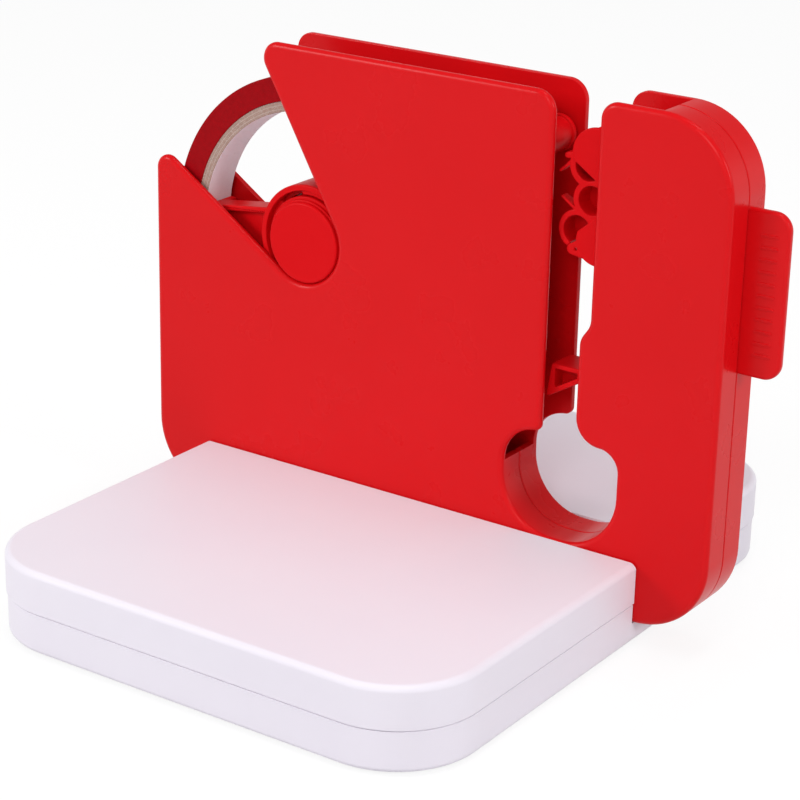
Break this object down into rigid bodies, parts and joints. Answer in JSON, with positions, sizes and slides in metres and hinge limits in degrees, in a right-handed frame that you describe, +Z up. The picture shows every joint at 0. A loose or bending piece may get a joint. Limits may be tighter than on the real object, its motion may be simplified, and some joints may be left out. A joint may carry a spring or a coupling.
{
  "type": "tape dispenser",
  "caption": "Upright tape dispenser that seals bag necks: a slim two-shell body with a tape roll, guide roller, star wheel and sprung arm, standing in the channel of a flat base.",
  "frame": {"origin": "middle of the object's footprint, on the surface that the rubber feet stand on", "axes": "+X from the tape roll towards the bag slot and the finger tab, -Y towards the front plate, +Z up"},
  "size_m": [0.2044, 0.1966, 0.153],
  "materials": {
    "red_plastic": "moulded ABS, satin gloss",
    "white_plastic": "moulded ABS, satin gloss, faint cool tint",
    "tape_film": "wound adhesive film, glossy outside, fine lines at the sides",
    "core_board": "wound grey board with a white paper lining",
    "steel": "bright zinc",
    "blade_steel": "ground strip steel",
    "foot_rubber": "matte black"
  },
  "bodies": {
    "stand": {"base_tray": "white_plastic", "base_cover_front": "white_plastic", "base_cover_rear": "white_plastic", "base_screw_1": "steel", "base_screw_2": "steel", "base_screw_3": "steel", "base_screw_4": "steel", "base_screw_5": "steel", "base_screw_6": "steel", "base_screw_7": "steel", "base_screw_8": "steel", "rubber_foot_1": "foot_rubber", "rubber_foot_2": "foot_rubber", "rubber_foot_3": "foot_rubber", "rubber_foot_4": "foot_rubber"},
    "dispenser": {"front_shell": "red_plastic", "rear_shell": "red_plastic", "shell_screw_1": "steel", "shell_screw_2": "steel", "shell_screw_3": "steel", "shell_screw_4": "steel", "shell_screw_5": "steel", "shell_screw_6": "steel", "shell_screw_7": "steel", "roller_pin": "steel", "star_wheel_pin": "steel", "arm_pin": "steel", "blade_holder": "red_plastic", "cutter_blade": "blade_steel", "arm_spring": "steel"},
    "axle": {"spool_axle": "red_plastic"},
    "reel": {"spool": "red_plastic", "tape_core": "core_board", "tape_roll": "tape_film"},
    "roller": {"guide_roller": "red_plastic"},
    "wheel": {"star_wheel": "red_plastic"},
    "arm": {"press_arm": "red_plastic"}
  },
  "joints": [
    {"name": "dispenser_lift", "type": "slide", "parent": "stand", "child": "dispenser", "axis": [0, 0, 1], "range_m": [0, 0.04]},
    {"name": "axle_lift_out", "type": "slide", "parent": "dispenser", "child": "axle", "axis": [-0.6839, 0, 0.7296], "range_m": [0, 0.11]},
    {"name": "reel_spin", "type": "hinge", "parent": "axle", "child": "reel", "pos_m": [-0.04718, 0.0164, 0.09538], "axis": [0, 1, 0], "continuous": true},
    {"name": "guide_roller_spin", "type": "hinge", "parent": "dispenser", "child": "roller", "pos_m": [0.02877, 0.0164, 0.1381], "axis": [0, 1, 0], "continuous": true},
    {"name": "star_wheel_spin", "type": "hinge", "parent": "dispenser", "child": "wheel", "pos_m": [0.06017, 0.0164, 0.1255], "axis": [0, 1, 0], "continuous": true},
    {"name": "arm_swing", "type": "hinge", "parent": "dispenser", "child": "arm", "pos_m": [0.06578, 0.0164, 0.0734], "axis": [0, -1, 0], "range_deg": [0, 30], "stiffness_Nm_per_rad": 0.02, "springref_deg": -20.05, "deforming": ["arm_spring"]}
  ]
}
